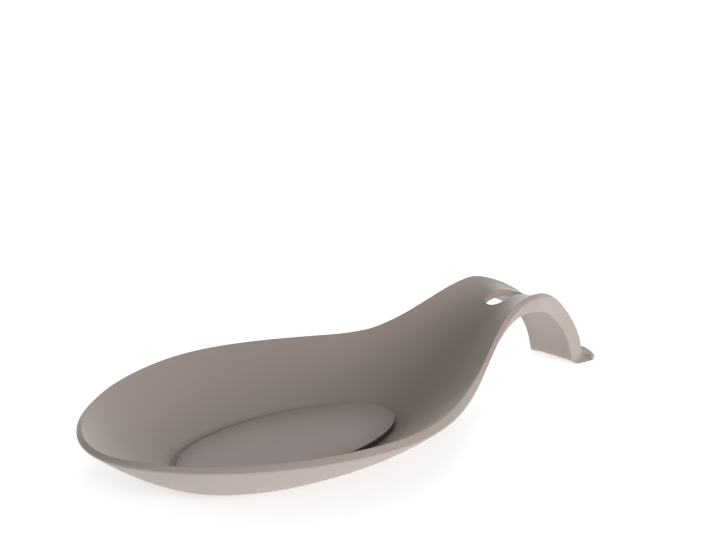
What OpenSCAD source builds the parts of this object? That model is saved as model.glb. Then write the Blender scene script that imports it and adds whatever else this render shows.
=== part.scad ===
// Spoon rest moulded in one piece: a spoon-shaped bowl with a raised oval floor,
// a neck that climbs out of it, a hollow crest with a slot to hang it by,
// and a leg that bends down to a flat foot.
// Lengths are in millimetres, +X runs from the bowl's tip to the foot, +Z is up,
// and the origin is on the table, at the middle of the whole length.

/* [Bowl] */
// Width of the bowl between the inner edges of its rim
bowl_w = 121.5; // [112:0.5:136]
// Length from the bowl's tip to its widest place
tip_run = 84.8; // [78:0.1:90]
// Height of the bowl's rim above the table
rim_h = 22.3; // [19:0.1:26]
// Thickness of the moulded wall
wall = 2.7; // [2:0.1:3.2]
// Width of the slanted face on the edge of the bowl, at its widest place
rim_face = 3; // [2:0.1:4]
// Width of that face at the bowl's tip
tip_face = 1.9; // [1.2:0.1:3]
// Height of the narrow upright land below that face
rim_land = 0.6; // [0.4:0.1:1.2]
// Angle of the inner wall to the table where it leaves the groove
wall_foot_angle = 22; // [16:1:26]
// Angle of the inner wall to the table at the rim
wall_rim_angle = 38; // [32:1:44]

/* [Floor] */
// Distance from the widest place back to the middle of the raised floor
floor_shift = 2; // [0:0.5:6]
// Length of the raised floor on the tip side of its middle
floor_tip_run = 46; // [38:0.5:50]
// Length of the raised floor on the neck side of its middle
floor_neck_run = 54; // [46:0.5:58]
// Width of the raised floor
floor_w = 50; // [40:0.5:56]
// Height of the raised floor above the bottom of the groove
groove_d = 2.1; // [0.8:0.1:2.2]
// Width of the groove at the tip end
groove_tip_w = 3.4; // [2.4:0.1:5]
// Width of the groove at the neck end
groove_neck_w = 5.6; // [3:0.1:7]
// Width of the groove along the sides
groove_side_w = 4.1; // [2.8:0.1:6]
// Clearance under the raised floor, inside the ring that stands on the table
floor_gap = 1.1; // [0.5:0.1:1.4]

/* [Handle] */
// Length from the widest place of the bowl to the top of the handle
crest_run = 119; // [112:1:132]
// Height of the handle's edges at its top
crest_h = 39.1; // [35:0.1:45]
// Length over which the rim climbs to the top of the handle
rise_run = 54; // [46:1:60]
// Width of the handle at its top, between its inner edges
handle_w = 34; // [30:0.5:40]
// Depth of the hollow along the top of the handle
crest_hollow = 3.9; // [3:0.1:5.5]
// Distance of the hollow's highest place past that of the edges
crest_lag = 2.5; // [0:0.5:4]
// Radius of the arch that the bottom of the hollow makes along the handle
crest_r = 17; // [14:1:24]
// Height of the flat side face at the top of the handle
side_h = 5.5; // [4:0.1:7]
// Slope at which the lower edge of the side face passes the top of the handle
side_fall = 10.5; // [4:0.5:14]
// Length before the top of the handle over which the side face grows
side_run = 30; // [24:1:40]
// Width of the slanted face on the edge of the handle
crest_face = 2.1; // [1:0.1:2.6]
// Length from the bowl's widest place to where that face starts to narrow
face_shift = 38; // [30:1:48]
// Length over which it narrows
face_run = 42; // [34:1:50]

/* [Leg] */
// Slope of the leg at the table
leg_angle = 78; // [72:1:82]
// Length from the top of the handle to where the leg meets the table
toe_run = 35.2; // [32:0.1:38]
// How far the bend of the edges reaches along the handle, and how far up the leg
edge_lead = 10.5; // [8:0.5:14]
edge_pull = 24.5; // [20:0.5:27]
// The same two reaches for the bottom of the hollow
hollow_lead = 9.5; // [8:0.5:12]
hollow_pull = 24; // [20:0.5:26]
// The same two reaches for the lower edge of the side face
heel_lead = 3; // [1.5:0.5:5]
heel_pull = 24.5; // [20:0.5:26]
// Width of the leg at its waist, between its inner edges
waist_w = 19.6; // [15:0.1:22]
// Width of the leg where it bends into the foot
toe_w = 20; // [16:0.5:24]
// Radius of the bend where the leg turns into the foot
toe_r = 3; // [2:0.5:3]
// Depth of the hollow along the outside of the leg
leg_hollow = 4.3; // [2.5:0.1:4.5]
// Depth of the hollow along the inside of the leg
leg_recess = 1.4; // [0.8:0.1:2.4]
// Length of the foot past the toe
foot_l = 15; // [14.5:0.5:18]
// Width of the foot between its inner edges
foot_w = 25; // [20:0.5:30]
// Thickness of the foot
foot_t = 2; // [1.6:0.1:2.6]
// Height of the lip round the foot above its upper face
foot_lip = 0.3; // [0.2:0.1:0.8]
// Length of the rounded end of the foot
foot_round = 6; // [4:0.5:6]
// Width of the slanted face on the edge of the foot
foot_face = 1.5; // [1:0.1:2]

/* [Hang slot] */
// Length of the slot through the top of the handle
slot_l = 20; // [14:0.5:24]
// Width of the slot
slot_w = 9; // [6:0.5:12]
// Distance of the slot's middle past the top of the handle
slot_shift = 2.5; // [0:0.5:4]

/* [Hidden] */

// How pointed the bowl's tip is: 2 is an ellipse
tip_power = 1.79;
// How full the ends of the foot's outline are
foot_power = 2;
// How full the hollow of the neck, crest and leg is, from a parabola upwards
neck_power = 2;
crest_power = 2.5;
leg_power = 3;
// How close to its edges the hollow inside the leg keeps its depth
recess_power = 6;
// Share of the climb at which the bowl hands over to the handle
seam_share = 0.15;
// Share of the leg's length at which its waist lies
waist_share = 0.73;
// Angle round the floor that the neck spans on each side, and that of the widest place
neck_phi = 38;
wide_phi = 93;
// Angle of the rim's slanted face to the table
face_angle = 45;
// Side of the groove's upright edge, and its rounded corner below the wall
groove_edge = 0.4;
groove_corner = 1.6;
groove_lift = 0.5;
// How far the ring that stands on the table reaches past the groove, and its inner slant
base_out = 0.8;
base_slant = 1;
// Overrun of the slot's cut above and below the handle
overrun = 5;
// Share of a line over which its slope is measured
slope_share = 0.01;

// Cells of the surface: across the neck, along each side, round the tip, up the wall
across = 20;
side_cells = 10;
tip_cells = 17;
wall_cells = 10;
// Cells along the handle: neck, leg, bend, foot and its rounded end
neck_rows = 18;
leg_rows = 24;
bend_rows = 3;
foot_rows = 1;
end_rows = 8;
floor_ring_shares = [0.4, 0.75, 1];

around = across + 2 * (side_cells + tip_cells);
wide_x = tip_run;
crest_x = wide_x + crest_run;
rise_x = crest_x - rise_run;
seam_x = rise_x + rise_run * seam_share;
side_x = crest_x - side_run;
floor_x = wide_x - floor_shift;
floor_z = floor_gap + wall;
groove_z = floor_z - groove_d;
wall_z = groove_z + groove_lift;
keel_x = floor_x + floor_neck_run + groove_neck_w;
keel_z = crest_h - crest_hollow;
toe_x = crest_x + toe_run;
foot_end = toe_x + foot_l;
round_x = foot_end - foot_round;
foot_z = foot_t + foot_lip;
foot_edge = foot_face * cos(face_angle);
tip_edge = tip_face * cos(face_angle);
middle_x = (foot_end + foot_edge - tip_edge) / 2;
leg_end = 1;
bend_end = 2;
foot_straight_end = 3;
row_end = 4;

function clamp01(q) = min(max(q, 0), 1);
function ease(q) = (1 - cos(180 * clamp01(q))) / 2;
function smooth(q) = let(c = clamp01(q)) c * c * (3 - 2 * c);
function mix(a, b, q) = a + (b - a) * q;
// Curve from z0 to z1 over one unit, that leaves at rise m0 and arrives at rise m1
function hermite(q, z0, z1, m0, m1) =
    (2 * q ^ 3 - 3 * q ^ 2 + 1) * z0 + (q ^ 3 - 2 * q ^ 2 + q) * m0
    + (3 * q ^ 2 - 2 * q ^ 3) * z1 + (q ^ 3 - q ^ 2) * m1;
function bezier(s, a, b, c, d) =
    a * (1 - s) ^ 3 + b * 3 * s * (1 - s) ^ 2 + c * 3 * s ^ 2 * (1 - s) + d * s ^ 3;
function flat(p) = [p.x, p.y];

// Half width, height and edge face of the rim, at a place along the bowl and neck
function rim_y(x) = x < wide_x
    ? bowl_w / 2 * (1 - ((wide_x - x) / tip_run) ^ tip_power) ^ (1 / tip_power)
    : mix(handle_w, bowl_w, ease(1 - (x - wide_x) / crest_run)) / 2;
function rim_z(x) = mix(rim_h, crest_h, ease((x - rise_x) / rise_run));
// The face grows with the bowl from the tip to the widest place, and narrows on the neck
function edge_face(x) = x < wide_x
    ? mix(tip_face, rim_face, 2 * rim_y(x) / bowl_w)
    : mix(rim_face, crest_face, smooth((x - wide_x - face_shift) / face_run));
side_power = tan(side_fall) * side_run / (side_h - rim_land);
function neck_side(x) = mix(rim_land, side_h, clamp01((x - side_x) / side_run) ^ side_power);

// Height and slope of the middle of the neck, which ends level, in an arch of crest_r
keel_top = crest_x + crest_lag;
keel_run = keel_top - keel_x;
function keel_at(x) =
    let(q = (x - keel_x) / keel_run)
    (1 - 10 * q ^ 3 + 15 * q ^ 4 - 6 * q ^ 5) * wall_z
    + (10 * q ^ 3 - 15 * q ^ 4 + 6 * q ^ 5) * keel_z
    + (q - 6 * q ^ 3 + 8 * q ^ 4 - 3 * q ^ 5) * tan(wall_foot_angle) * keel_run
    - (q ^ 3 / 2 - q ^ 4 + q ^ 5 / 2) * keel_run ^ 2 / crest_r;
function keel_slope(x) =
    atan((keel_at(x + wall) - keel_at(x - wall)) / (2 * wall));
function neck_fullness(x) =
    mix(neck_power, crest_power, smooth((x - seam_x) / (crest_x - seam_x)));
// Height of the neck's upper face anywhere between its rims
function neck_z(x, y) =
    mix(keel_at(x), rim_z(x), (abs(y) / rim_y(x)) ^ neck_fullness(x));

// Side view of one line along the leg: a bend from the top, a straight slope, a bend
// of radius r into the foot, and the foot. s goes from 0 at the top to 4 at the end.
// The bend leaves the top at the slope named fall, and lead and pull are its reaches.
function leg_line(s, top, fall, lead, pull, line_toe, line_z, r) =
    let(
        reach = r * tan(leg_angle / 2),
        up_leg = [-cos(leg_angle), sin(leg_angle)],
        low = [line_toe, line_z] + reach * up_leg,
        phi = leg_angle * (bend_end - s)
    )
    s <= leg_end
        ? bezier(s, top, top + lead * [cos(fall), -sin(fall)], low + pull * up_leg, low)
    : s <= bend_end
        ? [line_toe + reach - r * sin(phi), line_z + r - r * cos(phi)]
    : s <= foot_straight_end
        ? [mix(line_toe + reach, round_x, s - bend_end), line_z]
    : [mix(round_x, foot_end, sin(90 * (s - foot_straight_end))), line_z];

// Where the slope of each line along the leg would meet its level in the foot:
// the underside, the upper face, the edge above it and the edge below it
function toe_shift(gap, rise) = (gap - rise * cos(leg_angle)) / sin(leg_angle);
toe_face = toe_x + toe_shift(wall, foot_t);
toe_edge = toe_face + toe_shift(leg_hollow, foot_lip);
toe_heel = toe_x - toe_shift(leg_recess, 0);
under_z = keel_z - wall;
heel_z = crest_h - crest_face * sin(face_angle) - side_h;
function leg_face(s) =
    leg_line(s, [keel_top, keel_z], 0, hollow_lead, hollow_pull, toe_face, foot_t, toe_r);
function leg_edge(s) =
    leg_line(s, [crest_x, crest_h], 0, edge_lead, edge_pull, toe_edge, foot_z, toe_r / 2);
function leg_under(s) =
    leg_line(s, [keel_top, under_z], 0, hollow_lead, hollow_pull - wall / 2, toe_x, 0, toe_r);
function leg_heel(s) =
    leg_line(s, [crest_x, heel_z], side_fall, heel_lead, heel_pull, toe_heel, 0, toe_r);
function leg_tilt(s) = s >= bend_end ? 0 : s >= leg_end
    ? leg_angle * (bend_end - s)
    : let(a = leg_edge(s), b = leg_edge(s + slope_share)) atan((a.y - b.y) / (b.x - a.x));
function leg_y(s) = s <= waist_share
    ? mix(handle_w, waist_w, ease(s / waist_share)) / 2
    : s <= leg_end
        ? mix(waist_w, toe_w, smooth((s - waist_share) / (leg_end - waist_share))) / 2
    : s <= foot_straight_end
        ? mix(toe_w, foot_w, smooth((s - leg_end) / (foot_straight_end - leg_end))) / 2
    : foot_w / 2 * (1 - clamp01((leg_edge(s).x - round_x) / foot_round) ^ foot_power)
        ^ (1 / foot_power);
function leg_edge_face(s) = mix(crest_face, foot_face, s / row_end);

// Rows along the handle. Each holds the side view points of its upper middle, upper
// edge, under middle and under edge, its half width, its edge face and edge tilt,
// and how full the upper and under hollows are.
function neck_row(x) =
    let(
        mid_x = x + crest_lag * smooth((x - seam_x) / (crest_x - seam_x)),
        a = keel_slope(mid_x),
        face = edge_face(x)
    )
    [
        [mid_x, keel_at(mid_x)],
        [x, rim_z(x)],
        [mid_x + wall * sin(a), keel_at(mid_x) - wall * cos(a)],
        [x, rim_z(x) - face * sin(face_angle) - neck_side(x)],
        rim_y(x), face, 0, neck_fullness(x), neck_fullness(x)
    ];
function leg_row(s) =
    [
        leg_face(s), leg_edge(s), leg_under(s), leg_heel(s),
        leg_y(s), leg_edge_face(s), leg_tilt(s),
        mix(crest_power, leg_power, smooth(s)),
        mix(crest_power, recess_power, smooth(s))
    ];
rows = [
    for (i = [0 : neck_rows]) neck_row(mix(seam_x, crest_x, i / neck_rows)),
    for (i = [1 : leg_rows]) leg_row(i / leg_rows),
    for (i = [1 : bend_rows]) leg_row(leg_end + i / bend_rows),
    for (i = [1 : foot_rows]) leg_row(bend_end + i / foot_rows),
    for (i = [1 : end_rows - 1]) leg_row(foot_straight_end + i / end_rows)
];
end_row = leg_row(row_end);

function across_at(j) = 2 * j / across - 1;
function row_edge_out(row) = row[5] * cos(face_angle);
function row_upper(row, j) =
    let(t = across_at(j), p = mix(row[0], row[1], abs(t) ^ row[7]))
    [p.x, row[4] * t, p.y];
function row_under(row, j) =
    let(t = across_at(j), p = mix(row[2], row[3], abs(t) ^ row[8]))
    [p.x, (row[4] + row_edge_out(row)) * t, p.y];

// Ovals round the floor: each end has its own length, and phi starts at the neck
function oval(phi, tip, neck, half_w) =
    [floor_x + (cos(phi) > 0 ? neck : tip) * cos(phi), half_w * sin(phi)];
function floor_oval(phi, grow) =
    oval(phi, floor_tip_run + grow, floor_neck_run + grow, floor_w / 2 + grow);
function groove_oval(phi, grow) =
    oval(
        phi, floor_tip_run + groove_tip_w + grow, floor_neck_run + groove_neck_w + grow,
        floor_w / 2 + groove_side_w + grow
    );

// Places round the bowl are numbered from the neck's -Y corner, over the neck, then
// round the tip. From the +Y corner, k counts the places of one side.
half_around = side_cells + tip_cells;
function side_phi(k) = k <= side_cells
    ? mix(neck_phi, wide_phi, k / side_cells)
    : mix(wide_phi, 180, (k - side_cells) / tip_cells);
function side_x_at(k) = k <= side_cells
    ? mix(seam_x, wide_x, k / side_cells)
    : wide_x - tip_run * sin(90 * (k - side_cells) / tip_cells);
function phi_at(i) =
    let(k = i - across)
    i <= across ? neck_phi * across_at(i)
    : k <= half_around ? side_phi(k)
    : -side_phi(2 * half_around - k);
function rim_at(i) =
    let(
        k = i - across,
        near = k <= half_around,
        x = side_x_at(near ? k : 2 * half_around - k)
    )
    i <= across ? row_upper(rows[0], i) : [x, (near ? 1 : -1) * rim_y(x), rim_z(x)];

// Rise of the wall along its line on arriving at the rim or the neck
function unit_rise(i) =
    let(b = flat(rim_at(i)), d = b - groove_oval(phi_at(i), 0), e = slope_share)
    (neck_z(b.x, b.y) - neck_z(b.x - e * d.x, b.y - e * d.y)) / e / norm(d);
corner_rise = unit_rise(across);
function arrival(i) =
    let(k = i - across, n = k <= half_around ? k : 2 * half_around - k)
    i <= across
        ? unit_rise(i)
        : mix(tan(wall_rim_angle), corner_rise, clamp01(1 - n / side_cells) ^ 2);
function wall_point(i, q, a, b) =
    let(p = mix(flat(a), flat(b), q), run = norm(flat(b) - flat(a)))
    [p.x, p.y, hermite(q, a.z, b.z, tan(wall_foot_angle) * run, arrival(i) * run)];
function ring(z, points) = [for (p = points) [p.x, p.y, z]];
function oval_ring(z, grow, from_floor) =
    ring(z, [for (i = [0 : around - 1])
        from_floor ? floor_oval(phi_at(i), grow) : groove_oval(phi_at(i), grow)]);

// Upper face: floor, groove and wall, from the middle outwards
upper_foot = oval_ring(wall_z, 0, false);
upper_rings = [
    for (share = floor_ring_shares)
        [for (p = oval_ring(floor_z, 0, true))
            [mix(floor_x, p.x, share), p.y * share, floor_z]],
    oval_ring(groove_z, groove_edge, true),
    oval_ring(groove_z, -groove_corner, false),
    upper_foot,
    for (n = [1 : wall_cells])
        [for (i = [0 : around - 1])
            wall_point(i, n / wall_cells, upper_foot[i], rim_at(i))]
];

// The whole rim is one loop, anticlockwise from above, from the neck's +Y corner
// round the tip and back, then down one edge of the handle and up the other.
top_ring = len(upper_rings) - 1;
last_row = len(rows) - 1;
bowl_loop = 2 * half_around + 1;
edge_loop = concat(
    [for (i = [across : around]) [rim_at(i % around), edge_face(rim_at(i % around).x), 0]],
    [for (h = [1 : last_row]) [row_upper(rows[h], 0), rows[h][5], rows[h][6]]],
    [[row_upper(end_row, 0), end_row[5], end_row[6]]],
    [for (h = [last_row : -1 : 1]) [row_upper(rows[h], across), rows[h][5], rows[h][6]]]
);
loop_size = len(edge_loop);
function outward(n) =
    let(
        a = edge_loop[(n + loop_size - 1) % loop_size][0],
        b = edge_loop[(n + 1) % loop_size][0],
        d = flat(b - a) / norm(flat(b - a))
    )
    [d.y, -d.x];
// Outer edge of the slanted face
slant_loop = [
    for (n = [0 : loop_size - 1])
        let(
            p = edge_loop[n][0],
            face = edge_loop[n][1],
            tilt = edge_loop[n][2],
            out = outward(n) * face * cos(face_angle),
            down = face * sin(face_angle)
        )
        [p.x + out.x - down * sin(tilt), p.y + out.y, p.z - down * cos(tilt)]
];

// Under face: the foot of the side faces on the bowl, and the under edge of the neck
function under_rim(i) = i <= across
    ? row_under(rows[0], i)
    : slant_loop[i - across] - [0, 0, neck_side(rim_at(i).x)];
under_foot = oval_ring(0, base_out, false);
under_rings = [
    oval_ring(floor_gap, 0, true),
    oval_ring(0, base_slant, true),
    under_foot,
    for (n = [1 : wall_cells])
        [for (i = [0 : around - 1])
            wall_point(i, n / wall_cells, under_foot[i], under_rim(i))]
];
under_ring = len(under_rings) - 1;

function flatten(lists) = [for (list = lists) each list];
upper_points = concat(
    [[floor_x, 0, floor_z]],
    flatten(upper_rings),
    [for (h = [1 : last_row]) for (j = [0 : across]) row_upper(rows[h], j)],
    [row_upper(end_row, 0)]
);
under_end = end_row[3] + [row_edge_out(end_row), 0];
under_points = concat(
    [[floor_x, 0, floor_gap]],
    flatten(under_rings),
    [for (h = [1 : last_row]) for (j = [0 : across]) row_under(rows[h], j)],
    [[under_end.x, 0, under_end.y]]
);
under_from = len(upper_points);
slant_from = under_from + len(under_points);

// Places of the points in one list: ring r, place i and handle row h, place j
function ring_at(r, i) = 1 + r * around + i % around;
function row_at(top, h, j) = h == 0
    ? ring_at(top, j)
    : 1 + (top + 1) * around + (h - 1) * (across + 1) + j;
function end_at(top) = row_at(top, last_row + 1, 0);
function loop_at(top, n) = n < bowl_loop
    ? ring_at(top, across + n)
    : n < bowl_loop + last_row
        ? row_at(top, n - bowl_loop + 1, 0)
    : n == bowl_loop + last_row
        ? end_at(top)
    : row_at(top, loop_size - n, across);

// Two triangles between places a, b and the next ones out, seen clockwise from outside
function cell(a, b, b_out, a_out) = [[a, b, b_out], [a, b_out, a_out]];
function flip(faces, from) = [for (f = faces) [f[2] + from, f[1] + from, f[0] + from]];
function sheet(top) = concat(
    [for (i = [0 : around - 1]) [0, ring_at(0, i + 1), ring_at(0, i)]],
    [for (r = [0 : top - 1]) for (i = [0 : around - 1])
        each cell(ring_at(r, i), ring_at(r, i + 1), ring_at(r + 1, i + 1), ring_at(r + 1, i))],
    [for (h = [0 : last_row - 1]) for (j = [0 : across - 1])
        each cell(
            row_at(top, h, j), row_at(top, h, j + 1),
            row_at(top, h + 1, j + 1), row_at(top, h + 1, j)
        )],
    [for (j = [0 : across - 1])
        [row_at(top, last_row, j), row_at(top, last_row, j + 1), end_at(top)]]
);
slant_faces = [
    for (n = [0 : loop_size - 1])
        let(m = (n + 1) % loop_size)
        each cell(loop_at(top_ring, n), loop_at(top_ring, m), slant_from + m, slant_from + n)
];
side_faces = [
    for (n = [0 : loop_size - 1])
        let(m = (n + 1) % loop_size)
        each cell(
            slant_from + n, slant_from + m,
            under_from + loop_at(under_ring, m), under_from + loop_at(under_ring, n)
        )
];

module shell() {
    polyhedron(
        points = concat(upper_points, under_points, slant_loop),
        faces = concat(
            sheet(top_ring), flip(sheet(under_ring), under_from), slant_faces, side_faces
        )
    );
}

module hang_slot() {
    slot_half = (slot_l - slot_w) / 2;
    slot_h = crest_h - under_z + 2 * overrun;
    translate([crest_x + slot_shift, 0, under_z - overrun])
        linear_extrude(slot_h) {
            square([2 * slot_half, slot_w], center = true);
            for (side = [-1, 1])
                translate([side * slot_half, 0])
                    circle(d = slot_w, $fn = 48);
        }
}

module rest_body() {
    color([0.63, 0.58, 0.55])
        translate([-middle_x, 0, 0])
            difference() {
                shell();
                hang_slot();
            }
}

rest_body();
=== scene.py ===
# %% [markdown]
# # A spoon rest, moulded in one piece
#
# This lesson dresses a finished CAD part for a photograph. The part is a spoon rest: a shallow bowl with the
# plan of a spoon, a hollow neck, an arch with a slot to hang it by, and a leg that ends in a flat foot. The CAD
# mesh sets every size. Here the same shape gets soft edges, a satin surface, a white table and studio light.

# %% Start
import math

import bmesh
import bpy
from mathutils import Euler, Matrix, Vector


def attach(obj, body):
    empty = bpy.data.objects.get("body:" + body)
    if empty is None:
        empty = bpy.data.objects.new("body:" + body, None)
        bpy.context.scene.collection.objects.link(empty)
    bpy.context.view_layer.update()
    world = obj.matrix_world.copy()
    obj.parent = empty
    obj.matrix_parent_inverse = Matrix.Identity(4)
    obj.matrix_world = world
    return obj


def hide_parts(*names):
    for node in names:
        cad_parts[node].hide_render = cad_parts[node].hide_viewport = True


MM = 0.001

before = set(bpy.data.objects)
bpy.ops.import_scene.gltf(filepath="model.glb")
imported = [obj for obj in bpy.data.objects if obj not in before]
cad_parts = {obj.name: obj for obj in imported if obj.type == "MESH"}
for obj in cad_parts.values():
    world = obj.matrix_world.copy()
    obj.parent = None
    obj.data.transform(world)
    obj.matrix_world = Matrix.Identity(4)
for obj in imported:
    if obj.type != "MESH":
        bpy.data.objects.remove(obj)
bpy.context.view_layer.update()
bpy.ops.object.select_all(action="DESELECT")

# %% [markdown]
# ## The moulding
#
# The real rest is one shot of plastic in a steel mould. A mould is cut as smooth surfaces, and wherever two of
# them meet, the cutter leaves a small round. The CAD mesh has flat facets and sharp corners, so the finished
# piece starts as a copy of it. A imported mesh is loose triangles: its doubles are merged first, and the triangles
# are joined into four-sided faces, because a subdivision surface bends those evenly.

# %% Copy the CAD mesh and merge it
MERGE_GAP = 0.02 * MM
QUAD_BEND = math.radians(25)
QUAD_SKEW = math.radians(60)


def copy_of_node(node, name):
    """A new object with its own copy of a CAD node's mesh, as the active object."""
    piece = bpy.data.objects.new(name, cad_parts[node].data.copy())
    piece.data.name = name
    bpy.context.scene.collection.objects.link(piece)
    bpy.ops.object.select_all(action="DESELECT")
    piece.select_set(True)
    bpy.context.view_layer.objects.active = piece
    return piece


shell = copy_of_node("rest_body", "spoon_rest_shell")
bpy.ops.object.mode_set(mode="EDIT")
bpy.ops.mesh.select_all(action="SELECT")
bpy.ops.mesh.remove_doubles(threshold=MERGE_GAP)
bpy.ops.mesh.tris_convert_to_quads(face_threshold=QUAD_BEND, shape_threshold=QUAD_SKEW)
bpy.ops.object.mode_set(mode="OBJECT")
print("merged:", len(shell.data.vertices), "vertices,", len(shell.data.polygons), "faces")

# %% [markdown]
# ## Edges that stay edges
#
# The rim, the groove and the side faces have real edges. A subdivision surface would melt them, so the edges
# that turn by more than a set angle get a full crease: the faces between them become smooth and the edges stay.

# %% Crease the edges and smooth the faces
EDGE_ANGLE = math.radians(32)
SMOOTH_LEVELS = 2


def crease_edges(piece, angle):
    """Gives every edge that turns by more than angle a full crease."""
    mesh = bmesh.new()
    mesh.from_mesh(piece.data)
    layer = mesh.edges.layers.float.get("crease_edge") or mesh.edges.layers.float.new("crease_edge")
    sharp = [e for e in mesh.edges if len(e.link_faces) == 2 and e.calc_face_angle(0) > angle]
    for edge in sharp:
        edge[layer] = 1.0
    mesh.to_mesh(piece.data)
    mesh.free()
    return len(sharp)


print("creased edges:", crease_edges(shell, EDGE_ANGLE))
smooth = shell.modifiers.new("smooth", "SUBSURF")
smooth.levels = smooth.render_levels = SMOOTH_LEVELS
bpy.ops.object.modifier_apply(modifier="smooth")
bpy.ops.object.shade_smooth()
print("smoothed:", len(shell.data.vertices), "vertices,", len(shell.data.polygons), "faces")

# %% [markdown]
# ## The small round of the mould
#
# Now a very narrow bevel breaks each edge, like the small round that the mould leaves. Its hardened normals keep
# the faces beside it flat, so a highlight runs along the edge and doesn't spread over the face.

# %% Round the edges
EDGE_ROUND = 0.1 * MM
ROUND_ANGLE = math.radians(24)
ROUND_SEGMENTS = 2

edges = shell.modifiers.new("edges", "BEVEL")
edges.limit_method = "ANGLE"
edges.angle_limit = ROUND_ANGLE
edges.width = EDGE_ROUND
edges.segments = ROUND_SEGMENTS
edges.harden_normals = True
bpy.ops.object.modifier_apply(modifier="edges")
print("finished:", len(shell.data.vertices), "vertices,", len(shell.data.polygons), "faces")

# %% [markdown]
# ## Satin plastic
#
# The plastic is a warm grey all through. Its finish is satin, which comes from a fine texture in the mould: the
# highlights are soft and wide. Three small things keep it from looking painted: the colour drifts a little from
# place to place, the gloss drifts too, and a very fine grain breaks up the highlights. Each follows a noise of
# its own, which is given by its scale and by how many finer layers lie on it.

# %% Make the plastic
PLASTIC_DARK = (0.354, 0.295, 0.264, 1.0)
PLASTIC_LIGHT = (0.380, 0.318, 0.286, 1.0)
PLASTIC_IOR = 1.48
PLASTIC_SHINE = 0.22
ROUGH_LOW, ROUGH_HIGH = 0.43, 0.51
GRAIN_HEIGHT = 0.012 * MM
COLOUR_NOISE = (14.0, 2.0)
GLOSS_NOISE = (60.0, 3.0)
GRAIN_NOISE = (2600.0, 2.0)


def satin_plastic(name):
    """A warm grey moulded plastic with a satin face."""
    material = bpy.data.materials.new(name)
    material.use_nodes = True
    nodes, links = material.node_tree.nodes, material.node_tree.links
    shader = nodes["Principled BSDF"]
    place = nodes.new("ShaderNodeTexCoord")

    def noise(scale, detail):
        texture = nodes.new("ShaderNodeTexNoise")
        texture.inputs["Scale"].default_value = scale
        texture.inputs["Detail"].default_value = detail
        links.new(place.outputs["Object"], texture.inputs["Vector"])
        return texture.outputs["Fac"]

    tint = nodes.new("ShaderNodeMix")
    tint.data_type = "RGBA"
    tint.inputs["A"].default_value = PLASTIC_DARK
    tint.inputs["B"].default_value = PLASTIC_LIGHT
    links.new(noise(*COLOUR_NOISE), tint.inputs["Factor"])
    links.new(tint.outputs["Result"], shader.inputs["Base Color"])

    gloss = nodes.new("ShaderNodeMapRange")
    gloss.inputs["To Min"].default_value = ROUGH_LOW
    gloss.inputs["To Max"].default_value = ROUGH_HIGH
    links.new(noise(*GLOSS_NOISE), gloss.inputs["Value"])
    links.new(gloss.outputs["Result"], shader.inputs["Roughness"])

    grain = nodes.new("ShaderNodeBump")
    grain.inputs["Distance"].default_value = GRAIN_HEIGHT
    links.new(noise(*GRAIN_NOISE), grain.inputs["Height"])
    links.new(grain.outputs["Normal"], shader.inputs["Normal"])
    shader.inputs["IOR"].default_value = PLASTIC_IOR
    shader.inputs["Specular IOR Level"].default_value = PLASTIC_SHINE
    return material


plastic = satin_plastic("satin plastic")
shell.data.materials.clear()
shell.data.materials.append(plastic)
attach(shell, "root")
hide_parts("rest_body")
print("finish:", plastic.name)

# %% [markdown]
# ## Painted shade in the groove
#
# The groove round the floor is darker in the photograph than shape and light alone make it here. That darkness is
# shade: less light reaches into the groove than into the rest of the bowl. So shade is painted into the colour low
# in the bowl. The real one may be deeper, or it may hold a little dirt: the photograph can't tell. The colour
# turns towards a dark one as far as the walls of the groove hide the surface from the open. An ambient occlusion
# node measures that, and looks at the rest alone, not at the table. Higher up the colour stays as it is.

# %% Paint shade into the groove's colour
# The dark colour of the painted shade deep in the groove.
GROOVE_SHADE_COLOUR = (0.11, 0.092, 0.08, 1.0)
GROOVE_REACH = 6 * MM
GROOVE_RAYS = 8
GROOVE_DEEP = 0.6
GROOVE_LOW, GROOVE_HIGH = 8 * MM, 14 * MM


def paint_groove_shade(material):
    """Paints shade into a plastic's colour: darker low in the bowl, where the walls of the groove hide the surface
    from the open.
    """
    nodes, links = material.node_tree.nodes, material.node_tree.links
    base = nodes["Principled BSDF"].inputs["Base Color"]
    plain = base.links[0].from_socket

    hidden = nodes.new("ShaderNodeAmbientOcclusion")
    hidden.samples = GROOVE_RAYS
    hidden.only_local = True
    hidden.inputs["Distance"].default_value = GROOVE_REACH
    openness = nodes.new("ShaderNodeMapRange")
    openness.inputs["From Min"].default_value = GROOVE_DEEP
    links.new(hidden.outputs["AO"], openness.inputs["Value"])

    place = nodes.new("ShaderNodeTexCoord")
    spot = nodes.new("ShaderNodeSeparateXYZ")
    links.new(place.outputs["Object"], spot.inputs["Vector"])
    height = nodes.new("ShaderNodeMapRange")
    height.inputs["From Min"].default_value = GROOVE_LOW
    height.inputs["From Max"].default_value = GROOVE_HIGH
    links.new(spot.outputs["Z"], height.inputs["Value"])

    unshaded = nodes.new("ShaderNodeMath")
    unshaded.operation = "MAXIMUM"
    links.new(openness.outputs["Result"], unshaded.inputs[0])
    links.new(height.outputs["Result"], unshaded.inputs[1])
    # Painted shade: the colour turns towards the dark one where the groove hides the surface, low in the bowl.
    groove_shade = nodes.new("ShaderNodeMix")
    groove_shade.data_type = "RGBA"
    groove_shade.inputs["A"].default_value = GROOVE_SHADE_COLOUR
    links.new(unshaded.outputs["Value"], groove_shade.inputs["Factor"])
    links.new(plain, groove_shade.inputs["B"])
    links.new(groove_shade.outputs["Result"], base)


# Shade in the groove is painted into the plastic's colour.
paint_groove_shade(plastic)
print("deeper colour within", round(GROOVE_REACH / MM, 1), "mm of a wall, below", round(GROOVE_HIGH / MM, 1), "mm")

# %% [markdown]
# ## The white table
#
# The rest stands on white paper, which takes the lamps' light and shadows. The table ends in front of the lamps.
# Past its edge the white room is seen, so no grey horizon shows in a low view.

# %% Lay the table
TABLE_SIZE = 2.0
TABLE_COLOUR = (0.86, 0.86, 0.86, 1.0)


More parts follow.
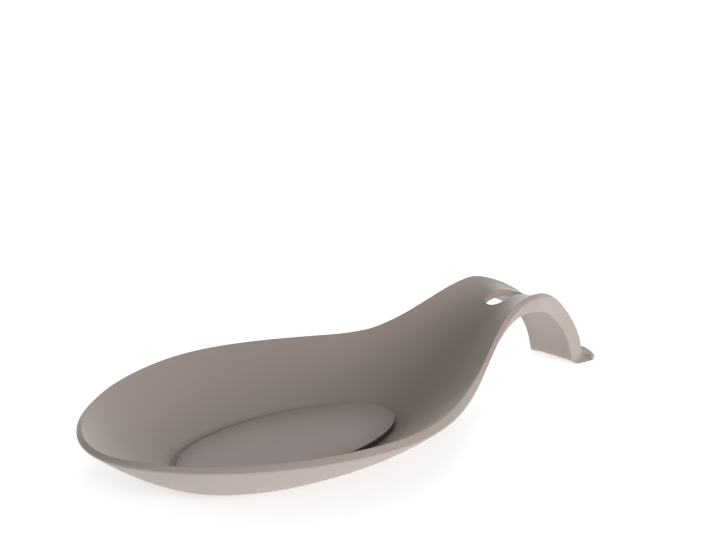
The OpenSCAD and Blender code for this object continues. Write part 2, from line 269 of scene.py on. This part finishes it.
def white_table():
    """A floor of white paper under the rest."""
    bpy.ops.mesh.primitive_plane_add(size=TABLE_SIZE, location=(0, 0, 0))
    table = bpy.context.active_object
    table.name = "white_table"
    material = bpy.data.materials.new("white table")
    material.use_nodes = True
    nodes, links = material.node_tree.nodes, material.node_tree.links
    nodes.clear()
    out = nodes.new("ShaderNodeOutputMaterial")
    paper = nodes.new("ShaderNodeBsdfDiffuse")
    paper.inputs["Color"].default_value = TABLE_COLOUR
    links.new(paper.outputs["BSDF"], out.inputs["Surface"])
    table.data.materials.append(material)
    return table


bpy.ops.object.select_all(action="DESELECT")
table = white_table()
print("table:", TABLE_SIZE, "m wide")

# %% [markdown]
# ## Light from below
#
# The photograph looks as if it was taken on a light table: the outside of the bowl, which faces down, is the
# brightest part of the object. So the paper is also lit through from below. The glow can differ by the kind of
# ray: one that carries light to the rest gets one level, and one that shows the table, straight or in a gloss,
# gets a level of its own, at which the open table comes out just white.

# %% Light the table through
GLOW_COLOUR = (0.95, 1.005, 1.045, 1.0)
TABLE_GLOW = 0.79
TABLE_SEEN = 0.79


def level_by_ray(tree, lit, seen):
    """Nodes for a strength that is lit for rays that carry light, and seen for rays that show a surface."""
    nodes, links = tree.nodes, tree.links
    ray = nodes.new("ShaderNodeLightPath")
    level = nodes.new("ShaderNodeMapRange")
    level.inputs["To Min"].default_value = lit
    level.inputs["To Max"].default_value = seen
    shown = ray.outputs["Is Camera Ray"]
    for kind in ("Is Glossy Ray", "Is Transmission Ray"):
        either = nodes.new("ShaderNodeMath")
        either.operation = "MAXIMUM"
        links.new(shown, either.inputs[0])
        links.new(ray.outputs[kind], either.inputs[1])
        shown = either.outputs["Value"]
    links.new(shown, level.inputs["Value"])
    return level


def light_through(material):
    """Adds a glow to the table's paper, and returns the node that sets its strength."""
    nodes, links = material.node_tree.nodes, material.node_tree.links
    surface = nodes["Material Output"].inputs["Surface"]
    paper = surface.links[0].from_socket
    level = level_by_ray(material.node_tree, TABLE_GLOW, TABLE_SEEN)
    glow = nodes.new("ShaderNodeEmission")
    glow.inputs["Color"].default_value = GLOW_COLOUR
    links.new(level.outputs["Result"], glow.inputs["Strength"])
    both = nodes.new("ShaderNodeAddShader")
    links.new(paper, both.inputs[0])
    links.new(glow.outputs["Emission"], both.inputs[1])
    links.new(both.outputs["Shader"], surface)
    return level


glow_level = light_through(table.active_material)
print("glow:", TABLE_GLOW, "as light,", TABLE_SEEN, "as seen")

# %% [markdown]
# ## The shade under the rest
#
# The glow is the same all over the table, so it has no shade of its own. In the photograph a soft one lies close
# round the rest, most of it in front and on the right. Here it comes from how much of the sky over a place the
# rest covers. The middle of that sky is tipped back and to the left, so the shade falls to the front and right.

# %% Shade the table where the rest covers it
SHADE_REACH = 0.025
SHADE_RAYS = 6
SHADE_DEPTH = 0.6
SKY_MIDDLE = (-0.35, 0.2, 0.9)


def shade_under(tree, level):
    """Lowers the seen strength of the table where something close above covers its sky."""
    nodes, links = tree.nodes, tree.links
    sky = nodes.new("ShaderNodeCombineXYZ")
    for axis, share in zip("XYZ", SKY_MIDDLE):
        sky.inputs[axis].default_value = share
    cover = nodes.new("ShaderNodeAmbientOcclusion")
    cover.samples = SHADE_RAYS
    cover.inputs["Distance"].default_value = SHADE_REACH
    links.new(sky.outputs["Vector"], cover.inputs["Normal"])
    shade = nodes.new("ShaderNodeMapRange")
    shade.inputs["To Min"].default_value = TABLE_SEEN * (1 - SHADE_DEPTH)
    shade.inputs["To Max"].default_value = TABLE_SEEN
    links.new(cover.outputs["AO"], shade.inputs["Value"])
    links.new(shade.outputs["Result"], level.inputs["To Max"])


shade_under(table.active_material.node_tree, glow_level)
print("shade reaches", round(SHADE_REACH / MM), "mm")

# %% [markdown]
# ## The room
#
# The room is an even white. It lights the rest hardly at all, so that the lamps shape it, but it is seen as
# white, also in the gloss.

# %% Make the room white
ROOM_COLOUR = (1.0, 1.0, 1.0, 1.0)
ROOM_LIGHT, ROOM_SEEN = 0.01, 1.0


def white_room(lit, seen):
    """An even world with one strength as light and another as it is seen."""
    world = bpy.data.worlds.new("room")
    bpy.context.scene.world = world
    world.use_nodes = True
    room = world.node_tree.nodes["Background"]
    room.inputs["Color"].default_value = ROOM_COLOUR
    level = level_by_ray(world.node_tree, lit, seen)
    world.node_tree.links.new(level.outputs["Result"], room.inputs["Strength"])
    return world


print("world:", white_room(ROOM_LIGHT, ROOM_SEEN).name)

# %% [markdown]
# ## Lamps
#
# The light in the photograph is soft and low. One strong lamp stands low in front. Three weak ones stand low on
# the right, behind on the right and behind on the left, and a weak one hangs high behind on the right. The inside
# of the bowl sees little of them, which is why it is darker than the outside. Each lamp is given by its bearing
# round the rest, counted from the front towards the right, its height in degrees, and how bright a white card
# that faced it would be.

# %% Light the set
LAMP_DISTANCE = 2.0
LAMP_SIZE = 1.2
LAMP_AIM = Vector((0, 0, 0.01))
LAMPS = (
    ("front_lamp", 0, 12, 1.02),
    ("right_lamp", 90, 12, 0.09),
    ("back_lamp", 135, 12, 0.26),
    ("left_lamp", 225, 12, 0.3),
    ("top_lamp", 120, 65, 0.22),
)


def soft_lamp(name, bearing, height, level):
    """A square soft lamp. A white card at the rest that faces it is lit to level, where 1 is white."""
    turn, lift = math.radians(bearing), math.radians(height)
    way = Vector((math.sin(turn) * math.cos(lift), -math.cos(turn) * math.cos(lift), math.sin(lift)))
    bpy.ops.object.light_add(type="AREA", location=LAMP_AIM + way * LAMP_DISTANCE)
    lamp = bpy.context.active_object
    lamp.name = name
    lamp.data.shape = "SQUARE"
    lamp.data.size = LAMP_SIZE
    lamp.data.energy = level * (math.pi * LAMP_DISTANCE) ** 2
    lamp.rotation_euler = (-way).to_track_quat("-Z", "Y").to_euler()
    return lamp


for name, bearing, height, level in LAMPS:
    soft_lamp(name, bearing, height, level)

# %% [markdown]
# ## Camera
#
# A camera was fitted to the outlines of the real object: the two sides of the rim, the groove and the foot. It
# stands to the left of the rest and in front of it, a little above, and looks along the handle at an angle. The
# fit also found that it is rolled by half a degree.

# %% Place the camera
CAMERA_PLACE = (-0.51165, -0.50655, 0.27593)
CAMERA_YAW, CAMERA_DOWN, CAMERA_ROLL = 44.905, 16.507, 0.552
CAMERA_LENS = 101.41

bpy.ops.object.camera_add(location=CAMERA_PLACE)
camera = bpy.context.active_object
level_view = Euler((math.radians(90 - CAMERA_DOWN), 0, math.radians(-CAMERA_YAW))).to_matrix()
camera.rotation_euler = (level_view @ Matrix.Rotation(math.radians(CAMERA_ROLL), 3, "Z")).to_euler()
camera.data.lens = CAMERA_LENS
bpy.context.scene.camera = camera
bpy.context.scene.view_settings.view_transform = "Standard"
print("camera at", CAMERA_PLACE)
